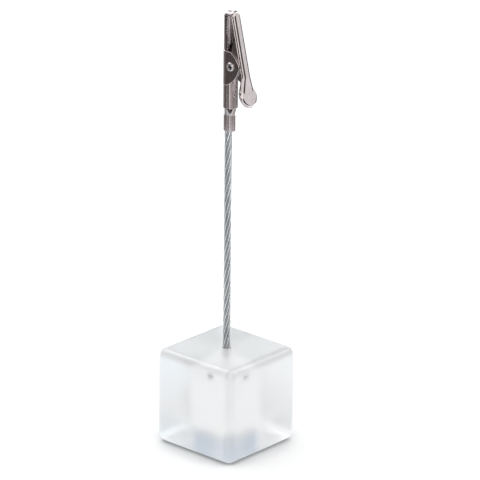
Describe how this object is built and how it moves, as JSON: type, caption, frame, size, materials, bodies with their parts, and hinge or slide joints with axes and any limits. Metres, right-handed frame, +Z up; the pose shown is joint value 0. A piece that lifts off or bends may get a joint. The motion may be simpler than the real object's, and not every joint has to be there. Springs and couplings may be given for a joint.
{
  "type": "memo holder",
  "caption": "Memo holder with a frosted clear cube base, a wire-rope stem and a toothed spring clip whose thumb lever opens the jaws.",
  "frame": {"origin": "middle of the cube's underside, on the desk", "axes": "+Z up along the stem, the clip opens towards +X, the rivet runs along Y"},
  "size_m": [0.03, 0.03, 0.1354],
  "materials": {
    "frosted_acrylic": "frosted satin, translucent",
    "cured_adhesive": "clear cured",
    "rope_wire": "drawn bright wire",
    "clip_plating": "nickel plated, polished",
    "rivet_plating": "nickel plated, polished",
    "spring_wire": "spring steel wire"
  },
  "bodies": {
    "holder": {"block": "frosted_acrylic", "adhesive": "cured_adhesive", "rope_core": "rope_wire", "rope_inner_wire_1": "rope_wire", "rope_inner_wire_2": "rope_wire", "rope_inner_wire_3": "rope_wire", "rope_inner_wire_4": "rope_wire", "rope_inner_wire_5": "rope_wire", "rope_inner_wire_6": "rope_wire", "rope_outer_wire_1": "rope_wire", "rope_outer_wire_2": "rope_wire", "rope_outer_wire_3": "rope_wire", "rope_outer_wire_4": "rope_wire", "rope_outer_wire_5": "rope_wire", "rope_outer_wire_6": "rope_wire", "rope_outer_wire_7": "rope_wire", "rope_outer_wire_8": "rope_wire", "rope_outer_wire_9": "rope_wire", "rope_outer_wire_10": "rope_wire", "rope_outer_wire_11": "rope_wire", "rope_outer_wire_12": "rope_wire", "clip_body": "clip_plating", "pivot_rivet": "rivet_plating", "torsion_spring": "spring_wire"},
    "lever": {"clip_lever": "clip_plating"}
  },
  "joints": [
    {"name": "lever_pivot", "type": "hinge", "parent": "holder", "child": "lever", "pos_m": [0.0025, 0, 0.1189], "axis": [0, 1, 0], "range_deg": [0, 18], "stiffness_Nm_per_rad": 0.06, "springref_deg": -22.92, "deforming": ["torsion_spring"]}
  ]
}
